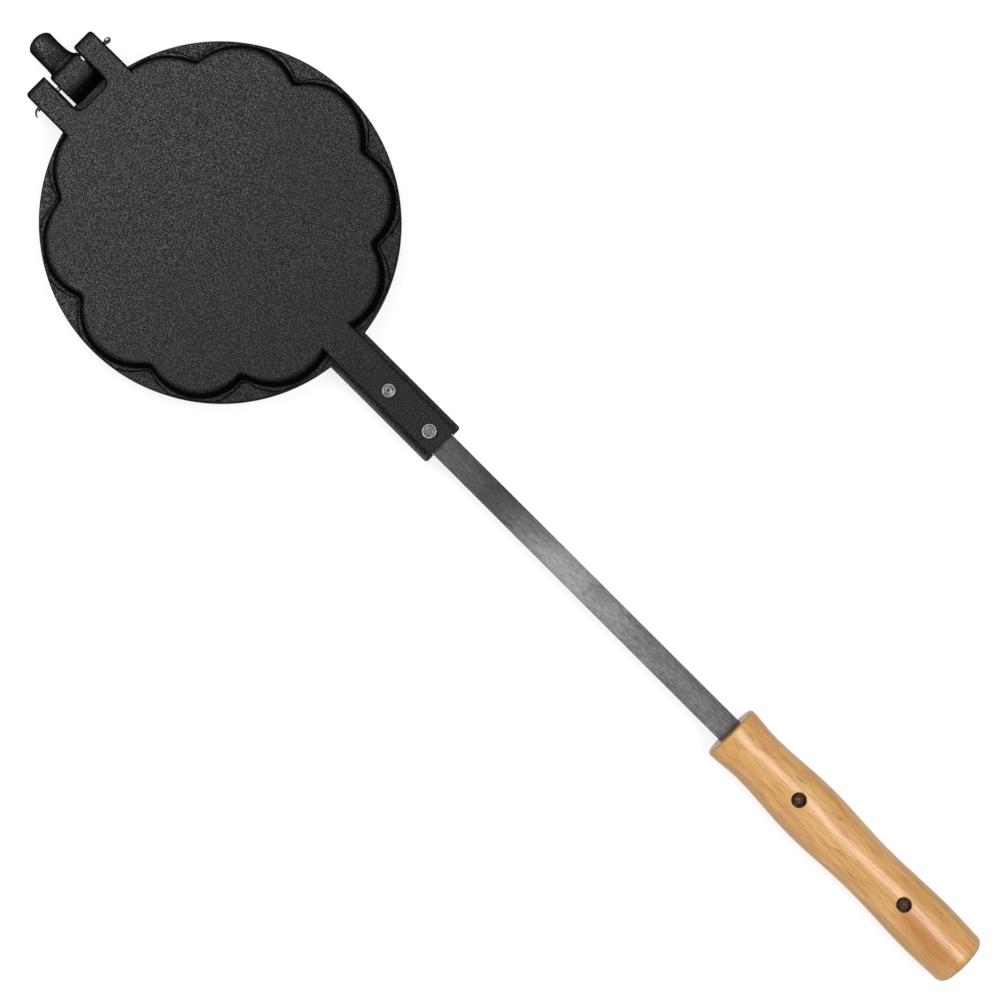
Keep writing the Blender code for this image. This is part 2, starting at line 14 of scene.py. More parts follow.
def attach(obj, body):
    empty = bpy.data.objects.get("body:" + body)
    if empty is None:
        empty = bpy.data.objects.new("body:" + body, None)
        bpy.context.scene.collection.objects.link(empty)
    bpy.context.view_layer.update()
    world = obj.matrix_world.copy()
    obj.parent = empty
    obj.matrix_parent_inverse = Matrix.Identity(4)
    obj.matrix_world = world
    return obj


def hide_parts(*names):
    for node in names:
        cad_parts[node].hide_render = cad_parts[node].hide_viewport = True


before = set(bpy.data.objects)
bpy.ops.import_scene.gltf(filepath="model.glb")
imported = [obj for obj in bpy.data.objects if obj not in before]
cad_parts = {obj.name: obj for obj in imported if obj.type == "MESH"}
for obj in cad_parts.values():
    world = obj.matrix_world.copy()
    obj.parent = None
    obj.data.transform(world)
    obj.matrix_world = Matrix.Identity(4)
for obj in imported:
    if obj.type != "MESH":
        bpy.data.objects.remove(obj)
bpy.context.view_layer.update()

mm = 0.001


def in_mm(sizes):
    """Sizes in millimetres turned to metres, through nested tuples."""
    return tuple(in_mm(size) for size in sizes) if isinstance(sizes, tuple) else sizes * mm


# Sizes, most of them shared with the frame
half_gap = 0.3 * mm / 2
seat_gap = 0.3 * mm
shank_clearance = 0.25 * mm
overrun = 2 * mm
half_height = 16.5 * mm
disc_radius = 100 * mm
flange_height = 6 * mm
rim_round = 1 * mm
side_notches = tuple(radians(angle) for angle in (36.5, 70.5, 106, 143))
ledge_insets = in_mm((12.4, 10.6, -1.1))
wall_foot_insets = in_mm((13.2, 11.3, 1.7))
wall_top_insets = in_mm((15.4, 13.3, 3.9))
flat_insets = in_mm((16.4, 13.9, 6.7))
ledge_height = 1.4 * mm
ledge_ease = 0.5 * mm
ledge_draft = 0.35 * mm
wall_foot_flare = 0.2 * mm
wall_foot_rise = 0.3 * mm
shoulder_height = 2.8 * mm
shoulder_eases = in_mm((1.6, 1.6, 1.1))
notch_easing = radians(1.5)
plate_floor = 5.35 * mm
mould_depth = half_height - half_gap - plate_floor
mould_walls = in_mm((2.7, 4.2, 3.1))
mould_draft = 1.6 * mm
mould_lip = 0.7 * mm
mould_fillet = 1.1 * mm
mould_fillet_reach = 0.1 * mm
ridge_width = 3.2 * mm
hub_radius = 8 * mm
web_depth = 1.5 * mm
web_radius = 58 * mm
stud_pitch = 11 * mm
stud_foot = 6.6 * mm
stud_top = 4.2 * mm
stud_height = 5.6 * mm
stud_margin = 1.6 * mm
stud_ease = 0.6 * mm
stud_corner_share = 0.2
stud_flare = in_mm(((-0.25, 0.9), (0.15, 0.35), (0.9, 0.02), (1.2, -2)))
hinge_x = -116 * mm
knuckle_radius = 8 * mm
knuckle_sides = in_mm((-10.82, 10.1))
knuckle_web_inner = 7 * mm
knuckle_web_outer = 15 * mm
knuckle_root_x = -93 * mm
knuckle_foot_x = -84 * mm
knuckle_round = 1.9 * mm
knuckle_thin_share = 0.2
dish_x = -118.3 * mm
dish_radius = 2.2 * mm
dish_floor_share = 0.75
dish_depth = 0.8 * mm
dish_stretch = 7
dish_lean = radians(12.5)
ear_sides = in_mm((-25.95, 24.75))
notch_sides = in_mm((-11.75, 10.9))
notch_lip = 2.5 * mm
notch_lip_overlap = 0.04 * mm
notch_lip_end_share = 0.55
ear_radius = 10.5 * mm
ear_root_x = -78 * mm
ear_slope_x = -93 * mm
ear_crease = 6 * mm
ear_round = 2 * mm
notch_edge_x = -95.5 * mm
notch_corner = 4.8 * mm
ear_inner_corner = 3.2 * mm
peg_radius = 7.7 * mm
peg_tip_x = -145.05 * mm
peg_dome = 4.6 * mm
peg_stations = in_mm((
    (-119, -9.6, 8.4, 4.6), (-122.9, -9.6, 8.4, 4.9), (-123.8, -9.45, 8.35, 4.7), (-124.8, -9, 8.2, 4.5),
    (-126, -8.45, 8, 4.5), (-127.5, -8.05, 7.9, 4.7), (-129.5, -7.75, 7.85, 5.2), (-132, -7.6, 7.85, 5.8),
    (-135, -7.55, 7.8, 6.4), (-138, -7.6, 7.75, 6.75),
))
peg_share_high = 0.88
lip_edge_x = -102.6 * mm
lip_root_x = -90 * mm
lip_half_width = 12.4 * mm
lip_depth = 9 * mm
lip_round = 1.6 * mm
lip_corner = 2.4 * mm
lip_tongue = in_mm((-100.73, 10.83, 2.6, 1.47))
lip_tongue_corner = 1.25 * mm
lip_tongue_low = 0.3 * mm
lip_tongue_ease = in_mm((0.4, 0.5))
web_foot_outline = in_mm(((-92, 14.9), (-112.8, 12.2), (-112.8, 10.4), (-109.2, 8.4), (-92, 7.6)))
web_foot_sides = in_mm((-11.7, -8))
web_foot_round = 0.6 * mm
pin_radius = 1.2 * mm
pin_clearance = 0.3 * mm
pin_split = 0.1 * mm
pin_eye_inside = 1 * mm
pin_eye_sweep = radians(300)
pin_eye_tilt = radians(68)
pin_long_leg = (0.4 * mm, 3.3 * mm, radians(82))
pin_short_leg = (0.1 * mm, 1.1 * mm, radians(98))
pin_tip_share = 0.7
bar_width = 15 * mm
bar_inner = 1.5 * mm
bar_outer = 5.5 * mm
bar_edge = 0.5 * mm
bar_start_x = 102 * mm
bar_end_x = 546 * mm
socket_sides = in_mm((-9.6, 10.8))
socket_height = 10 * mm
socket_root_x = 76 * mm
socket_flush_x = 86 * mm
socket_level_x = 122 * mm
socket_end_x = 172.5 * mm
socket_round = 1.6 * mm
strip_width = 26.8 * mm
strip_end_x = 174 * mm
strip_corner = 1.5 * mm
strip_round = 0.5 * mm
socket_rivet_places = in_mm((131.8, 163.4))
shank_radius = 2 * mm
tail_radius = 3.2 * mm
tail_height = 0.9 * mm
tail_flat_share = 0.55
tail_round_share = 0.75
head_foot_edge = 0.15 * mm
socket_head_radius = 4.2 * mm
socket_head_height = 1.8 * mm
grip_head_radius = 3.1 * mm
grip_head_height = 1.5 * mm
dent_centre = in_mm((-0.3, 0.1))
dent_radius = 1.1 * mm
dent_depth = 0.45 * mm
dent_reach = 0.5 * mm
dent_dot = 1.1
washer_radius = 3.9 * mm
washer_height = 0.8 * mm
washer_edge = 0.15 * mm
grip_start_x = 398 * mm
grip_end_x = 580 * mm
grip_width = 35.4 * mm
grip_rise = 15.6 * mm
grip_front_round = 2 * mm
grip_end_round = 5 * mm
grip_edge = 1 * mm
grip_shape_shares = ((0, 0.966), (0.118, 0.885), (0.349, 1), (0.597, 0.9), (0.846, 0.972), (1, 0.93))
grip_rivet_places = in_mm((450.1, 531.6))
counterbore_radius = 4.2 * mm
counterbore_floor = 10 * mm
counterbore_lip = 0.7 * mm
counterbore_lip_over = 1.4

# Crowns of rivet heads, from the rim to the centre: share of the radius, mm below the top
socket_crowns = {
    "plate_end": (
        (1, 0.95), (0.985, 0.62), (0.95, 0.36), (0.9, 0.2), (0.84, 0.12), (0.77, 0.08), (0.7, 0.1),
        (0.64, 0.2), (0.58, 0.3), (0.52, 0.22), (0.46, 0.08), (0.38, 0.02), (0.3, 0), (0.22, 0),
        (0.14, 0), (0.08, 0), (0.02, 0),
    ),
    "grip_end": (
        (1, 0.8), (0.985, 0.42), (0.95, 0.14), (0.91, 0.02), (0.87, 0), (0.8, 0.06), (0.75, 0.3),
        (0.71, 0.48), (0.66, 0.52), (0.6, 0.48), (0.5, 0.42), (0.38, 0.4), (0.25, 0.4), (0.12, 0.4),
        (0.02, 0.4),
    ),
}
grip_crown = (
    (1, 0.75), (0.98, 0.45), (0.92, 0.2), (0.84, 0.06), (0.75, 0), (0.66, 0.05), (0.6, 0.2),
    (0.54, 0.33), (0.45, 0.38), (0.3, 0.4), (0.15, 0.38), (0.02, 0.36),
)

# Painted reflections and shadow on the bar's steel, from the casting to the grip: a painted shadow where it
# leaves the socket, then darker and lighter reflections along it: x in mm, tone
bar_reflection_and_shadow_zones = (
    (173, 0.022), (174.6, 0.058), (192, 0.055), (210, 0.041), (228, 0.06), (248, 0.12), (266, 0.18),
    (280, 0.172), (291, 0.137), (303, 0.143), (325, 0.108), (362, 0.084), (398, 0.069),
)

# Painted shade on the knuckle, its peg and the lip behind it, from the peg's tip to the notch: below 1
# darkens the pocket and creases, above 1 lifts the lip's shade
hinge_shading_zones = (
    (-145, 0.3), (-140, 0.95), (-133, 0.72), (-128, 0.39), (-125.2, 0.26), (-124, 0.45), (-123.2, 0.5),
    (-122.2, 0.18), (-120.9, 0.28), (-119, 1), (-113, 1), (-111, 0.7), (-108.9, 0.5), (-107.6, 0.02),
    (-104, 0), (-102.2, 0.8), (-101, 1.6), (-98.2, 2), (-97, 1.1),
)

# Finer than the frame
disc_steps = 720
shoulder_steps = 10
heart_steps = 80
hub_steps = 10
barrel_steps = 72
crease_steps = 8
slope_steps = 28
peg_steps = 64
dome_steps = 14
lathe_steps = 48
dish_ring_steps = 32
hole_steps = 24
web_steps = 180
grip_arc_steps = 56
grip_body_steps = 90
pin_section_steps = 12
pin_leg_steps = 16
pin_eye_steps = 44
smooth_angle = radians(32)


# Mesh helpers

def new_object(name, bm):
    bmesh.ops.recalc_face_normals(bm, faces=bm.faces)
    mesh = bpy.data.meshes.new(name)
    bm.to_mesh(mesh)
    bm.free()
    item = bpy.data.objects.new(name, mesh)
    bpy.context.collection.objects.link(item)
    return item


def polar(radius, angle):
    return Vector((radius * cos(angle), radius * sin(angle)))


def quarter(steps):
    """The turns of a quarter round, from 0 to a right angle."""
    return [pi / 2 * step / steps for step in range(steps + 1)]


def rounding(radius, steps):
    """A rounded edge as (inset, rise) pairs, from (radius, 0) to (0, radius)."""
    return [(radius * (1 - sin(turn)), radius * (1 - cos(turn))) for turn in quarter(steps)]


def s_curve(share):
    return (1 - cos(pi * share)) / 2


def lofted(name, solids, ends_meet=False):
    """Join each solid's rings of points, equally many in each. Its two ends are closed, or else meet."""
    bm = bmesh.new()
    for rings in solids:
        loops = [[bm.verts.new(point) for point in ring] for ring in rings]
        for lower, upper in zip(loops, loops[1:] + loops[:1] if ends_meet else loops[1:]):
            for here in range(len(lower)):
                after = (here + 1) % len(lower)
                bm.faces.new((lower[here], lower[after], upper[after], upper[here]))
        if not ends_meet:
            bm.faces.new(loops[0])
            bm.faces.new(loops[-1])
    return new_object(name, bm)


def raised(outline, height):
    return [Vector((x, y, height)) for x, y in outline]


def shifted(rings, x):
    return [[point + Vector((x, 0, 0)) for point in ring] for ring in rings]


def circle_rings(profile, steps=lathe_steps):
    """A ring for each (radius, height) pair."""
    turns = [tau * step / steps for step in range(steps)]
    return [raised((polar(radius, turn) for turn in turns), height) for radius, height in profile]


def turned(name, profile, steps=lathe_steps, places=(0,)):
    """Round solids about the z axis, one at each place along x."""
    return lofted(name, [shifted(circle_rings(profile, steps), x) for x in places])


def moved(item, *moves):
    for move in moves:
        item.data.transform(move)
    return item


def combine(target, operand, operation):
    modifier = target.modifiers.new(operand.name, "BOOLEAN")
    modifier.operation = operation
    modifier.solver = "EXACT"
    modifier.object = operand


def settle(item):
    """Apply the modifiers and remove the shapes that they used."""
    graph = bpy.context.evaluated_depsgraph_get()
    mesh = bpy.data.meshes.new_from_object(item.evaluated_get(graph))
    operands = [modifier.object for modifier in item.modifiers if modifier.type == "BOOLEAN"]
    item.modifiers.clear()
    item.data = mesh
    for operand in operands:
        bpy.data.objects.remove(operand, do_unlink=True)


def carved(item, *cuts):
    """Cut shapes out of an item, after what its modifiers already say."""
    for cut in cuts:
        combine(item, cut, "DIFFERENCE")
    settle(item)
    return item


def shade(item):
    """Smooth curves, crisp edges, and flats that shade flat."""
    item.data.shade_smooth()
    item.data.set_sharp_from_angle(angle=smooth_angle)
    modifier = item.modifiers.new("weighted normals", "WEIGHTED_NORMAL")
    modifier.mode = "FACE_AREA"
    modifier.weight = 100
    modifier.keep_sharp = True
    settle(item)


def inset_outline(outline, distance, shares):
    """Move a closed counter-clockwise outline inwards, each point by its share of the distance."""
    inset = []
    for place, point in enumerate(outline):
        before = Vector(point) - Vector(outline[place - 1])
        after = Vector(outline[(place + 1) % len(outline)]) - Vector(point)
        along = (before.normalized() + after.normalized()).normalized()
        inset.append(Vector(point) + Vector((-along.y, along.x)) * distance * shares[place])
    return inset


def pillow_across(name, outline, low_y, high_y, edge, shares=None):
    """A side view extruded across Y, with both its rims rounded."""
    shares = shares or [1] * len(outline)
    low_rim, high_rim = [], []
    for inset, rise in rounding(edge, 6):
        section = inset_outline(outline, inset, shares)
        low_rim.append([Vector((x, low_y + rise, z)) for x, z in section])
        high_rim.append([Vector((x, high_y - rise, z)) for x, z in section])
    return lofted(name, [low_rim + high_rim[::-1]])


def rounded_rectangle(half_x, half_y, radius, steps):
    """Corner by corner, counter-clockwise, about the origin."""
    outline = []
    for corner, (sign_x, sign_y) in enumerate(((1, 1), (-1, 1), (-1, -1), (1, -1))):
        for step in range(steps + 1):
            turn = pi / 2 * (corner + step / steps)
            centre = Vector((sign_x * (half_x - radius), sign_y * (half_y - radius)))
            outline.append(centre + polar(radius, turn))
    return outline


def raised_block(name, centre, half_x, half_y, corner, profile, steps, keep_corner=False):
    """A rounded rectangle raised through (inset, height) pairs."""
    rings = []
    for inset, height in profile:
        radius = corner if keep_corner else corner - inset
        outline = rounded_rectangle(half_x - inset, half_y - inset, radius, steps)
        rings.append(raised([Vector(centre) + point for point in outline], height))
    return lofted(name, [rings])


# Castings

def notch_angles():
    other_side = (tau - angle for angle in reversed(side_notches))
    return (0, *side_notches, pi, *other_side, tau)


def half_lobe_reach(notch, crest, half_angle, turn):
    centre = (crest ** 2 - notch ** 2) / (2 * (crest - notch * cos(half_angle)))
    angle = half_angle * turn
    side = centre * sin(angle)
    return centre * cos(angle) + sqrt((crest - centre) ** 2 - side ** 2)


def sharp_reach(insets, angle):
    deep, shallow, crest = (disc_radius - inset for inset in insets)
    notches = notch_angles()
    angle %= tau
    place = sum(angle >= notch for notch in notches[1:-1])
    half_angle = (notches[place + 1] - notches[place]) / 2
    turn = (angle - notches[place]) / half_angle - 1
    notch = deep if (place + (turn > 0)) % 2 else shallow
    return half_lobe_reach(notch, crest, half_angle, abs(turn))


def flower_reach(insets, angle):
    beside = sharp_reach(insets, angle - notch_easing) + sharp_reach(insets, angle + notch_easing)
    return (beside + 2 * sharp_reach(insets, angle)) / 4


def flower_ring(insets, height, spread=0, limit=disc_radius - rim_round):
    """The flower's outline, spread outwards by a distance but never beyond the limit."""
    outline = []
    for step in range(disc_steps):
        angle = tau * step / disc_steps
        outline.append(polar(min(flower_reach(insets, angle) + spread, limit), angle))
    return raised(outline, height)


def blend(start, end, share):
    return tuple(a + (b - a) * share for a, b in zip(start, end))


def make_body(name):
    """The disc and its flower-shaped body in one closed skin, from the parting face to the flat."""
    rim = [(disc_radius - inset, half_gap + rise) for inset, rise in rounding(rim_round, 3)]
    rim += [(disc_radius - rise, flange_height - inset) for inset, rise in rounding(rim_round, 4)]
    rings = circle_rings(rim, disc_steps)
    top = flange_height + ledge_height
    eased = rounding(ledge_ease, 3)
    foot = [(ledge_insets, flange_height + rise, ledge_draft + inset) for inset, rise in eased]
    foot += [(ledge_insets, top - inset, -rise) for inset, rise in eased]
    for inset, rise in rounding(1, 3):
        foot.append((wall_foot_insets, top + wall_foot_rise * rise, wall_foot_flare * inset))
    # Where the ledge's rings would reach the rim, each ends some hairs further inside it than the last
    hair = 0.02 * mm
    for row, hairs in zip(foot, (1, 2, 3, 4, 6, 7, 8, 9, 12, 12, 12, 12)):
        rings.append(flower_ring(*row, disc_radius - rim_round - hair * hairs))
    shoulder = [inset + ease for inset, ease in zip(flat_insets, shoulder_eases)]
    for inset, rise in rounding(1, shoulder_steps):
        insets = blend(shoulder, wall_top_insets, 1 - rise)
        rings.append(flower_ring(insets, half_height - shoulder_height * inset))
    return lofted(name, [rings])


def heart_sectors():
    notches = notch_angles()
    at_bar = (notches[-2] - tau, 0, notches[1])
    return [at_bar, *zip(notches[1::2], notches[2::2], notches[3::2])]


def heart_outline(sector, draft):
    start, middle, end = sector
    insets = [inset + wall - mould_draft + draft for inset, wall in zip(flat_insets, mould_walls)]
    half_ridge = ridge_width / 2 + draft
    hub = hub_radius + draft
    first, last = start, end
    for _ in range(4):
        first = start + asin(half_ridge / flower_reach(insets, first))
        last = end - asin(half_ridge / flower_reach(insets, last))
    outline = []
    for step in range(heart_steps + 1):
        share = 2 * step / heart_steps - 1
        side = last - middle if share > 0 else middle - first
        angle = middle + side * share
        outline.append(polar(flower_reach(insets, angle), angle))
    margin = asin(half_ridge / hub)
    for step in range(hub_steps + 1):
        angle = end - margin + (start - end + 2 * margin) * step / hub_steps
        outline.append(polar(hub, angle))
    return outline


def make_moulds():
    """The five hearts with eased mouths and floors, and the studs left standing in them."""
    mouth = half_gap
    floor = mouth + mould_depth
    hearts, studs = [], []
    for sector in heart_sectors():
        rings = [raised(heart_outline(sector, -mould_lip), mouth - overrun)]
        for inset, rise in rounding(mould_lip, 4):
            drafted = mould_draft * (mould_lip - inset) / mould_depth
            rings.append(raised(heart_outline(sector, drafted - inset), mouth + rise))
        for inset, rise in rounding(mould_fillet, 4):
            outline = heart_outline(sector, mould_draft + rise - mould_fillet_reach)
            rings.append(raised(outline, floor - inset))
        hearts.append(rings)
        studs.extend(heart_studs(heart_outline(sector, mould_draft), sector[1]))
    return carved(lofted("moulds", hearts), lofted("studs", studs))


def inside(outline, point, margin):
    crossings = 0
    for a, b in zip(outline, outline[1:] + outline[:1]):
        along = b - a
        share = max(0, min(1, (point - a).dot(along) / along.length_squared))
        if (a + along * share - point).length < margin:
            return False
        if (a.y > point.y) != (b.y > point.y):
            crossings += point.x < a.x + along.x * (point.y - a.y) / along.y
    return crossings % 2 == 1


def heart_studs(floor_outline, angle):
    """Square studs with round corners, eased tops and flared feet, on each heart's own grid."""
    floor = half_gap + mould_depth
    taper = (stud_foot - stud_top) / stud_height
    margin = stud_foot / sqrt(2) + stud_margin
    reach = ceil(disc_radius / stud_pitch)
    spin = Matrix.Rotation(angle, 2)
    sections = []
    for inset, rise in rounding(stud_ease, 3):
        sections.append((stud_top - 2 * inset + taper * rise, floor - stud_height + rise))
    sections += [(stud_foot + wider, floor - above) for wider, above in stud_flare]
    solids = []
    for row in range(reach):
        for column in range(-reach, reach + 1):
            place = spin @ Vector(((row + 0.5) * stud_pitch, column * stud_pitch))
            if inside(floor_outline, place, margin):
                rings = []
                for width, height in sections:
                    square = rounded_rectangle(width / 2, width / 2, width * stud_corner_share, 3)
                    rings.append(raised([place + spin @ point for point in square], height))
                solids.append(rings)
    return solids


def tangent_turn(radius, x, z):
    """Where round the hinge a straight slope from (x, z) meets a barrel."""
    rise = Vector((x - hinge_x, z))
    return atan2(rise.y, rise.x) + acos(radius / rise.length)


def barrel_outline(radius, outer, root_x, inner):
    tangent = tangent_turn(radius, *outer[-1])
    sweep = tau - tangent + asin(inner / radius)
    outline = list(outer)
    for step in range(barrel_steps + 1):
        turn = tangent + sweep * step / barrel_steps
        outline.append((hinge_x + radius * cos(turn), radius * sin(turn)))
    outline.append((root_x, inner))
    return outline


def ear_slope():
    """How fast the ears' back falls towards the hinge, height over length."""
    return tan(tangent_turn(ear_radius, ear_slope_x, half_height) - pi / 2)


def make_ears():
    """The hinge block, with the crease between its flat and its slope eased."""
    outer = [(ear_root_x, half_height)]
    for step in range(crease_steps + 1):
        share = step / crease_steps
        x = ear_slope_x + ear_crease / 2 - ear_crease * share
        outer.append((x, half_height - ear_slope() * ear_crease / 2 * share ** 2))
    outline = barrel_outline(ear_radius, outer, ear_root_x, half_gap)
    return pillow_across("ears", outline, *ear_sides, ear_round)


def notch_outline():
    centre_x = notch_edge_x - notch_corner
    far_x = hinge_x - ear_radius - overrun
    outline = [(far_x, notch_sides[0])]
    for side, y in zip((-1, 1), notch_sides):
        for turn in quarter(10):
            corner = polar(notch_corner, turn - (side < 0) * pi / 2)
            outline.append((centre_x + corner.x, y - side * notch_corner + corner.y))
    end_x, end_y = hinge_x - ear_radius + ear_inner_corner, notch_sides[1] + ear_inner_corner
    for turn in quarter(8):
        outline.append((end_x - ear_inner_corner * sin(turn), end_y - ear_inner_corner * cos(turn)))
    outline.append((far_x, end_y))
    return outline


def spread_outline(outline, distance):
    """Move the notch's open outline to its right by a distance, and by less at its closed end."""
    spread = []
    for place, point in enumerate(outline):
        before = Vector(outline[max(place - 1, 0)])
        after = Vector(outline[min(place + 1, len(outline) - 1)])
        along = (after - before).normalized()
        spread.append(Vector(point) + Vector((along.y * notch_lip_end_share, -along.x)) * distance)
    return spread


def make_notch_cut():
    """The cut between the ears, eased where it opens, as the ears' own edges are."""
    outline = notch_outline()
    rings = [raised(outline, -ear_radius - overrun)]
    for inset, rise in rounding(notch_lip, 6):
        widened = raised(spread_outline(outline, rise), half_height)
        for point in widened:
            point.z += notch_lip_overlap - inset
            point.z -= ear_slope() * max(0, ear_slope_x - point.x)
        rings.append(widened)
    rings.append(raised(spread_outline(outline, notch_lip), half_height + overrun))
    return lofted("notch", [rings])


def make_knuckle():
    """The lower casting's barrel and web, with a hollow along the barrel's side."""
    outer = ((knuckle_foot_x, knuckle_web_outer), (knuckle_root_x, knuckle_web_outer))
    outline = barrel_outline(knuckle_radius, outer, knuckle_foot_x, knuckle_web_inner)
    count = len(outline)
    shares = [1 - (1 - knuckle_thin_share) * max(0, 6 * place / count - 5) for place in range(count)]
    knuckle = pillow_across("knuckle", outline, *knuckle_sides, knuckle_round, shares)
    dish = turned("dish", (
        (dish_radius * dish_floor_share, -dish_depth),
        (dish_radius, 0), (dish_radius, overrun),
    ), dish_ring_steps)
    return carved(knuckle, moved(
        dish,
        Matrix.Scale(dish_stretch, 4, (0, 1, 0)),
        Matrix.Rotation(pi / 2, 4, "X"),
        Matrix.Rotation(-dish_lean, 4, "Y"),
        Matrix.Translation((dish_x, knuckle_sides[0], 0)),
    ))


def make_peg():
    """The rest peg: flatter and wider where it leaves the knuckle, with a domed tip."""
    stations = list(peg_stations)
    for inset, rise in rounding(1, dome_steps)[:-1]:
        radius = peg_radius * (1 - rise)
        stations.append((peg_tip_x + peg_dome * inset, -radius, radius, radius * peg_share_high))
    circle = circle_rings([(1, 0)], peg_steps)[0]
    rings = []
    for x, low_y, high_y, half_z in stations:
        middle, half_y = (low_y + high_y) / 2, (high_y - low_y) / 2
        rings.append([Vector((x, middle + point.x * half_y, point.y * half_z)) for point in circle])
    return lofted("peg", [rings])


def make_hinge_lip():
    """The lower flange's lip in the notch, as thick as the web's foot that it joins."""
    middle_x = (lip_edge_x + lip_root_x) / 2
    profile = [(inset, half_gap + rise) for inset, rise in rounding(lip_round, 5)]
    profile += [(0, lip_depth - lip_round), (lip_round, lip_depth)]
    size = (lip_root_x - middle_x, lip_half_width, lip_corner)
    return raised_block("hinge lip", (middle_x, 0), *size, profile, 6, keep_corner=True)


def make_lip_tongue():
    """The lip's short tongue beside the knuckle, which rounds off the slit's end."""
    x, y, half_x, half_y = lip_tongue
    inset, fall = lip_tongue_ease
    profile = ((0, half_gap + lip_tongue_low), (0, lip_depth - lip_round), (inset, lip_depth - fall))
    return raised_block("lip tongue", (x, y), half_x, half_y, lip_tongue_corner, profile, 6)


def make_web_foot():
    """The web's thicker side under the ear, which closes the slit between them."""
    return pillow_across("web foot", web_foot_outline, *web_foot_sides, web_foot_round)


def shank_cuts(places, high):
    radius = shank_radius + shank_clearance
    return turned("shank holes", ((radius, -overrun), (radius, high + overrun)), hole_steps, places)


def make_pin_hole():
    reach = max(abs(y) for y in ear_sides) + overrun
    radius = pin_radius + pin_clearance
    hole = turned("pin hole", ((radius, -reach), (radius, reach)), hole_steps)
    return moved(hole, Matrix.Rotation(pi / 2, 4, "X"), Matrix.Translation((hinge_x, 0, 0)))


def make_strip():
    """The flange-high strip under and beside the socket, with its upper edge eased."""
    half = (strip_end_x - socket_root_x) / 2
    profile = [(0, half_gap), (0, flange_height - strip_round)]
    profile += [(rise, flange_height - inset) for inset, rise in rounding(strip_round, 4)[1:]]
    return raised_block("strip", (socket_root_x + half, 0), half, strip_width / 2, strip_corner, profile, 4)


def make_socket():
    """The cover over the bar, which slopes up to the plate's flat."""
    low = flange_height - overrun
    outline = [(socket_root_x, low), (socket_end_x, low), (socket_end_x, socket_height)]
    for step in range(slope_steps + 1):
        share = step / slope_steps
        x = socket_level_x + (socket_flush_x - socket_level_x) * share
        outline.append((x, socket_height + (half_height - socket_height) * s_curve(share)))
    outline.append((socket_root_x, half_height))
    return pillow_across("socket", outline, *socket_sides, socket_round)


def make_bar_groove():
    """The bar's seat, covered by the socket and open past its end."""
    half = bar_width / 2 + seat_gap
    start_x, end_x = bar_start_x - seat_gap, strip_end_x + overrun
    cover, open_top = bar_outer + seat_gap, flange_height + overrun
    outline = ((start_x, -overrun), (end_x, -overrun), (end_x, open_top))
    outline += ((socket_end_x, open_top), (socket_end_x, cover), (start_x, cover))
    return lofted("bar groove", [[[Vector((x, y, z)) for x, z in outline] for y in (-half, half)]])


def make_casting(name, hinge_parts, hinge_cuts):
    casting = make_body(name)
    for added in (make_strip(), make_socket(), *hinge_parts):
        combine(casting, added, "UNION")
    web_top = half_gap + web_depth
    return carved(
        casting,
        *hinge_cuts,
        make_moulds(),
        turned("web", ((web_radius, -overrun), (web_radius, web_top)), web_steps),
        make_bar_groove(),
        make_pin_hole(),
        shank_cuts(socket_rivet_places, socket_height),
    )


# Bars, rivets, grips, pin

def make_bar(name):
    half_y, half_z = bar_width / 2, (bar_outer - bar_inner) / 2
    middle = (bar_outer + bar_inner) / 2
    stations = (
        (bar_start_x, bar_edge), (bar_start_x + bar_edge, 0),
        (bar_end_x - bar_edge, 0), (bar_end_x, bar_edge),
    )
    rings = []
    for x, inset in stations:
        section = rounded_rectangle(half_y - inset, half_z - inset, bar_edge, 4)
        rings.append([Vector((x, point.x, middle + point.y)) for point in section])
    return carved(lofted(name, [rings]), shank_cuts(socket_rivet_places + grip_rivet_places, bar_outer))


def make_rivet(name, seat, head_radius, head_height, crown):
    """From the spread tail inside the bar to the head's crown."""
    centre_share = 0.02
    tail_top = bar_inner - seat_gap
    tail_low = tail_top - tail_height
    head_foot = seat + seat_gap
    profile = [(tail_radius * centre_share, tail_low), (tail_radius * tail_flat_share, tail_low)]
    for inset, rise in rounding(1, 4)[1:]:
        radius = tail_radius * (1 - (1 - tail_flat_share) * inset)
        profile.append((radius, tail_low + tail_height * tail_round_share * rise))
    profile += [(tail_radius, tail_top), (shank_radius, tail_top), (shank_radius, head_foot)]
    profile += [(head_radius - head_foot_edge, head_foot), (head_radius, head_foot + head_foot_edge)]
    profile += [(head_radius * share, head_foot + head_height - depth * mm) for share, depth in crown]
    return turned(name, profile)


def dent(item):
    """Press a round mark into the top of a head, with a raised dot left in its middle."""
    top = max(vertex.co.z for vertex in item.data.vertices)
    for vertex in item.data.vertices:
        distance = (vertex.co.xy - Vector(dent_centre)).length / dent_radius
        if vertex.co.z > top - dent_reach and distance < 1:
            vertex.co.z -= dent_depth * sin(pi * min(1, distance * dent_dot)) ** 2


def make_socket_rivet(name, place):
    rivet = make_rivet(name, socket_height, socket_head_radius, socket_head_height, socket_crowns[place])
    if place == "plate_end":
        dent(rivet)
    return rivet


def make_grip_rivet(name):
    washer_top = counterbore_floor + seat_gap + washer_height
    return make_rivet(name, washer_top, grip_head_radius, grip_head_height, grip_crown)


def make_washer(name):
    low = counterbore_floor + seat_gap
    high = low + washer_height
    edge = washer_edge
    bore = shank_radius + shank_clearance
    section = (
        (bore, low + edge), (bore + edge, low), (washer_radius - edge, low), (washer_radius, low + edge),
        (washer_radius, high - 2 * edge), (washer_radius - 2 * edge, high),
        (bore + edge, high), (bore, high - edge),
    )
    return lofted(name, [circle_rings(section)], ends_meet=True)


def grip_half_width(share):
    for (start, low), (end, high) in zip(grip_shape_shares, grip_shape_shares[1:]):
        if share <= end:
            return grip_width / 2 * (low + (high - low) * s_curve((share - start) / (end - start)))
    return grip_width / 2 * grip_shape_shares[-1][1]


